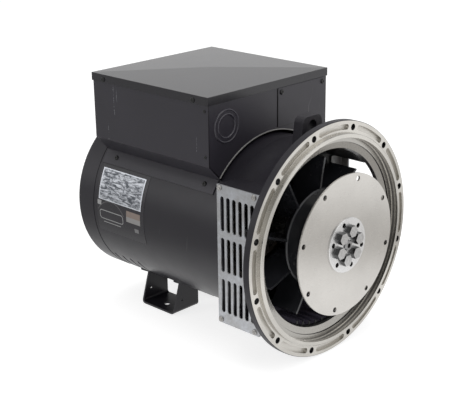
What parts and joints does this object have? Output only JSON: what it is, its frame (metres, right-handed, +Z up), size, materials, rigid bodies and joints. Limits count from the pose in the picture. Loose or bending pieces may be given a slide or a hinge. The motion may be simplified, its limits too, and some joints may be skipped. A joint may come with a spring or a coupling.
{
  "type": "generator alternator head",
  "caption": "Single-bearing generator alternator: round steel casing, spigoted engine flange, flexible disc coupling with cooling fan, side air grilles, feet and a terminal box on top.",
  "frame": {"origin": "centre of the engine flange face, on the shaft axis", "axes": "+X along the shaft towards the engine, +Z up through the terminal box, +Y to the side with the open air outlet"},
  "size_m": [0.5175, 0.4034, 0.4536],
  "materials": {
    "bracket_casting": "painted black, with a bare machined flange face",
    "black_paint": "semi-matt black powder coat on steel",
    "box_paint": "satin charcoal powder coat on sheet steel",
    "lid_paint": "satin charcoal powder coat on sheet steel",
    "galvanised": "galvanised sheet",
    "zinc_screws": "zinc plated",
    "black_screws": "blackened steel",
    "disc_steel": "brushed spring steel",
    "clamp_steel": "brushed",
    "bolt_steel": "plated bolts",
    "shaft_steel": "turned",
    "bearing_steel": "ground",
    "core_steel": "laminated, varnished",
    "copper": "enamelled copper windings",
    "fan_plastic": "moulded black",
    "trim_rubber": "edging",
    "board_plastic": "moulded",
    "stud_brass": "plated",
    "label_film": "printed film, no lettering",
    "data_plate": "foil with plain ruled lines"
  },
  "bodies": {
    "housing": {"drive_end_bracket": "bracket_casting", "stator_casing": "black_paint", "rear_shield": "bracket_casting", "bearing_outer_ring": "bearing_steel", "preload_washer": "bearing_steel", "rear_cover": "black_paint", "rear_cover_screws": "black_screws", "tie_rods": "zinc_screws", "stator_core": "core_steel", "stator_windings": "copper", "exciter_stator": "copper", "air_grille": "galvanised", "air_outlet_frame": "galvanised", "guard_screws": "zinc_screws", "foot_left": "black_paint", "foot_right": "black_paint", "box_side_left": "box_paint", "box_side_right": "box_paint", "box_front_panel": "box_paint", "box_rear_panel": "box_paint", "arch_trim": "trim_rubber", "box_cover_plate": "box_paint", "box_lid": "lid_paint", "lid_screws": "black_screws", "panel_rivets": "black_screws", "cover_plate_screws": "black_screws", "strip_screws": "black_screws", "terminal_board": "board_plastic", "terminal_studs": "stud_brass", "voltage_regulator": "board_plastic", "rating_label": "label_film", "data_plate": "data_plate"},
    "rotor": {"shaft": "shaft_steel", "rotor_core": "core_steel", "rotor_windings": "copper", "exciter_rotor": "copper", "rotating_rectifier": "fan_plastic", "fan": "fan_plastic", "coupling_hub": "shaft_steel", "coupling_discs": "disc_steel", "clamp_plate": "clamp_steel", "hub_bolts": "bolt_steel", "bearing_inner_ring": "bearing_steel", "bearing_balls": "bearing_steel"}
  },
  "joints": [
    {"name": "rotor_spin", "type": "hinge", "parent": "housing", "child": "rotor", "pos_m": [0, 0, 0], "axis": [1, 0, 0], "continuous": true}
  ]
}
